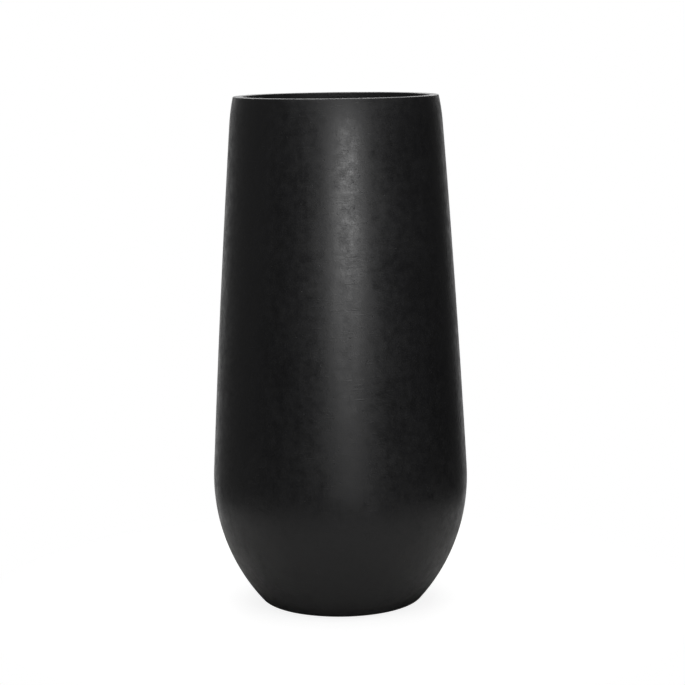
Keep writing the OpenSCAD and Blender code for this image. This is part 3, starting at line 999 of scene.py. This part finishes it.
def lay_floor(scene):
    """The round sheet of paper that the planter stands on."""
    radius = scene.planter_stage.floor_radius
    steps = 96
    ring = [(radius * math.cos(math.tau * i / steps), radius * math.sin(math.tau * i / steps), 0.0)
            for i in range(steps)]
    return stage_piece("paper_floor", ring, [range(steps)], floor_paper(scene.planter_finish, radius))


def hang_tent(s):
    """Black velvet round the front at every height, and over the back above its opening."""
    upright = math.pi / 2
    velvet = tent_cloth()
    sides = dome(s.tent_radius, -s.tent_left, s.tent_right, -upright, upright)
    roof = dome(s.tent_radius, s.tent_right, math.tau - s.tent_left, s.tent_roof, upright)
    for name, patch in (("tent_sides", sides), ("tent_roof", roof)):
        tent = stage_piece(name, *patch, velvet)
        tent.visible_camera = False
        tent.visible_diffuse = False


def stand(scene, name, data, at, aim, roll=0.0):
    """Stands a lamp or a camera at a point, aimed at another, and returns it."""
    holder = bpy.data.objects.new(name, data)
    holder.location = at
    sight = Vector(aim) - Vector(at)
    rolled = Quaternion(sight.normalized(), roll) @ sight.to_track_quat("-Z", "Y")
    holder.rotation_euler = rolled.to_euler()
    scene.collection.objects.link(holder)
    return holder


def light_stage(scene, spared):
    """The lamps, which the camera doesn't see. The key lamps leave out what they spare."""
    for name, lamp in LAMPS.items():
        light = bpy.data.lights.new(name, "AREA")
        light.shape = "RECTANGLE"
        light.size, light.size_y = lamp["size"]
        light.energy = lamp["watts"]
        holder = stand(scene, name, light, lamp["at"], lamp["aim"])
        holder.visible_camera = False
        if name.startswith("key_"):
            holder.light_linking.receiver_collection = spared


def build_stage(scene):
    """Floor, tent, surroundings, lamps and camera."""
    s = scene.planter_stage
    spared = bpy.data.collections.new("Spared by the key lamps")
    spared.objects.link(lay_floor(scene))
    spared.collection_objects[0].light_linking.link_state = "EXCLUDE"
    hang_tent(s)
    white_surroundings(scene)
    light_stage(scene, spared)
    camera = bpy.data.cameras.new("Camera")
    camera.lens = s.focal_length
    bpy.context.scene.camera = stand(scene, "Camera", camera, s.camera_place, s.camera_aim, s.camera_roll)
    scene.view_settings.view_transform = "Standard"


# Operators, panel and registration

class PLANTER_OT_stage(bpy.types.Operator):
    """Set up the floor, the tent, the lamps and the camera"""
    bl_idname = "planter.stage"
    bl_label = "Stage"

    def execute(self, context):
        build_stage(context.scene)
        return {"FINISHED"}


class PLANTER_OT_shell(bpy.types.Operator):
    """Turn the fibre-stone shell from its section"""
    bl_idname = "planter.shell"
    bl_label = "Shell"

    def execute(self, context):
        build_shell(context.scene)
        return {"FINISHED"}


class PLANTER_OT_pads(bpy.types.Operator):
    """Set the rubber pads under the foot"""
    bl_idname = "planter.pads"
    bl_label = "Floor pads"

    def execute(self, context):
        build_pads(context.scene)
        return {"FINISHED"}


class PLANTER_OT_liner(bpy.types.Operator):
    """Hang the plastic liner on the shell's ledge"""
    bl_idname = "planter.liner"
    bl_label = "Liner"

    def execute(self, context):
        build_liner(context.scene)
        return {"FINISHED"}


class PLANTER_OT_bails(bpy.types.Operator):
    """Bend the two wire bails and put them in their lugs"""
    bl_idname = "planter.bails"
    bl_label = "Bails"

    def execute(self, context):
        build_bails(context.scene)
        return {"FINISHED"}


class PLANTER_OT_plug(bpy.types.Operator):
    """Put the rubber plug in the drain hole"""
    bl_idname = "planter.plug"
    bl_label = "Drain plug"

    def execute(self, context):
        build_plug(context.scene)
        return {"FINISHED"}


OPERATORS = (PLANTER_OT_stage, PLANTER_OT_shell, PLANTER_OT_pads, PLANTER_OT_liner,
             PLANTER_OT_bails, PLANTER_OT_plug)
SETTINGS = {
    "planter_shell": PLANTER_PG_shell,
    "planter_liner": PLANTER_PG_liner,
    "planter_bail": PLANTER_PG_bail,
    "planter_plug": PLANTER_PG_plug,
    "planter_pads": PLANTER_PG_pads,
    "planter_finish": PLANTER_PG_finish,
    "planter_stage": PLANTER_PG_stage,
}


class PLANTER_PT_build(bpy.types.Panel):
    """Lists the pieces and their sizes"""
    bl_idname = "PLANTER_PT_build"
    bl_label = "Planter"
    bl_space_type = "VIEW_3D"
    bl_region_type = "UI"
    bl_category = "Planter"

    def draw(self, context):
        for operator in OPERATORS:
            self.layout.operator(operator.bl_idname)
        for label, kind in SETTINGS.items():
            box = self.layout.box()
            box.label(text=kind.__doc__)
            for name in kind.__annotations__:
                box.prop(getattr(context.scene, label), name)


def register():
    """Adds the classes and the scene's settings."""
    for kind in (*SETTINGS.values(), *OPERATORS, PLANTER_PT_build):
        bpy.utils.register_class(kind)
    for label, kind in SETTINGS.items():
        setattr(bpy.types.Scene, label, bpy.props.PointerProperty(type=kind))


def unregister():
    """Removes what register() added."""
    for label in SETTINGS:
        delattr(bpy.types.Scene, label)
    for kind in reversed((*SETTINGS.values(), *OPERATORS, PLANTER_PT_build)):
        bpy.utils.unregister_class(kind)


def clear_start_file():
    """Removes what the start file holds, apart from the frame."""
    kept = {*frame["nodes"].values(), *frame["bodies"].values()}
    for thing in list(bpy.data.objects):
        if thing not in kept:
            bpy.data.objects.remove(thing)


def main():
    """Builds the stage and every piece."""
    register()
    clear_start_file()
    bpy.ops.planter.stage()
    bpy.ops.planter.shell()
    bpy.ops.planter.pads()
    bpy.ops.planter.liner()
    bpy.ops.planter.bails()
    bpy.ops.planter.plug()


if __name__ == "__main__":
    main()
